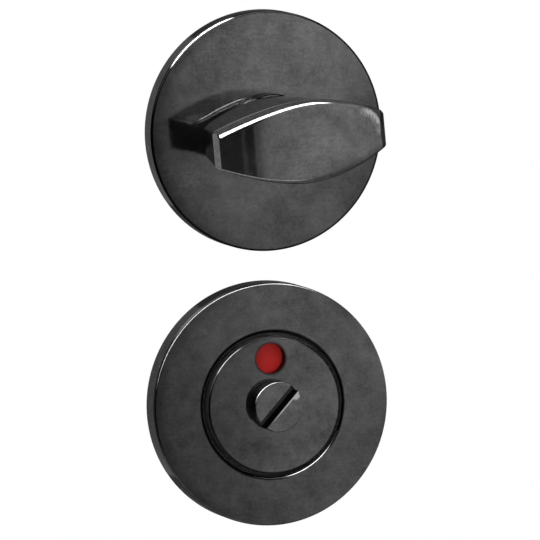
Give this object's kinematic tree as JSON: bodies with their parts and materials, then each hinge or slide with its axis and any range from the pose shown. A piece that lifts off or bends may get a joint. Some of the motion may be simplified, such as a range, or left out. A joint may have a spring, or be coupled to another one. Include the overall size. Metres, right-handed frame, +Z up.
{
  "type": "bathroom thumb turn lock",
  "caption": "Bathroom door lock set on round roses: a lens-shaped thumb turn for the inside, and a slotted coin release with an indicator window for the outside.",
  "frame": {"origin": "the thumb turn's axis on the door face, midway between the inside half's two fixing screws", "axes": "+Z up, along the line of the fixing screws, the roses face -Y, the door is on the +Y side"},
  "size_m": [0.0528, 0.0794, 0.1115],
  "materials": {
    "aged_dark_brass": "dark aged patina, waxed, cloudy satin with brighter worn edges",
    "zinc_plated_steel": "bright zinc plating",
    "bearing_brass": "plain turned brass",
    "spring_steel": "oiled spring steel",
    "black_steel": "black oxide",
    "indicator_enamel": "satin enamel, red with a white field"
  },
  "bodies": {
    "roses": {"turn_rose_cover": "aged_dark_brass", "turn_base_plate": "zinc_plated_steel", "turn_bush": "bearing_brass", "through_screws": "zinc_plated_steel", "release_rose_cover": "aged_dark_brass", "release_base_plate": "zinc_plated_steel", "release_bush": "bearing_brass", "release_face_disc": "aged_dark_brass", "threaded_pillars": "bearing_brass"},
    "turn": {"thumb_turn": "aged_dark_brass", "spindle": "zinc_plated_steel", "spindle_grub_screw": "black_steel", "turn_wave_washer": "spring_steel", "turn_washer": "zinc_plated_steel", "turn_circlip": "spring_steel"},
    "release": {"release_knob": "aged_dark_brass", "indicator_disc": "indicator_enamel", "indicator_pin": "zinc_plated_steel", "release_wave_washer": "spring_steel", "release_washer": "zinc_plated_steel", "release_circlip": "spring_steel"}
  },
  "joints": [
    {"name": "turn_spin", "type": "hinge", "parent": "roses", "child": "turn", "pos_m": [0, 0, 0], "axis": [0, -1, 0], "range_deg": [-4.6, 85.4]},
    {"name": "release_spin", "type": "hinge", "parent": "roses", "child": "release", "pos_m": [0, 0, -0.0591], "axis": [0, -1, 0], "range_deg": [-85.4, 4.6]}
  ],
  "couplings": [
    {"joint": "release_spin", "follows": "turn_spin", "ratio": -1}
  ]
}
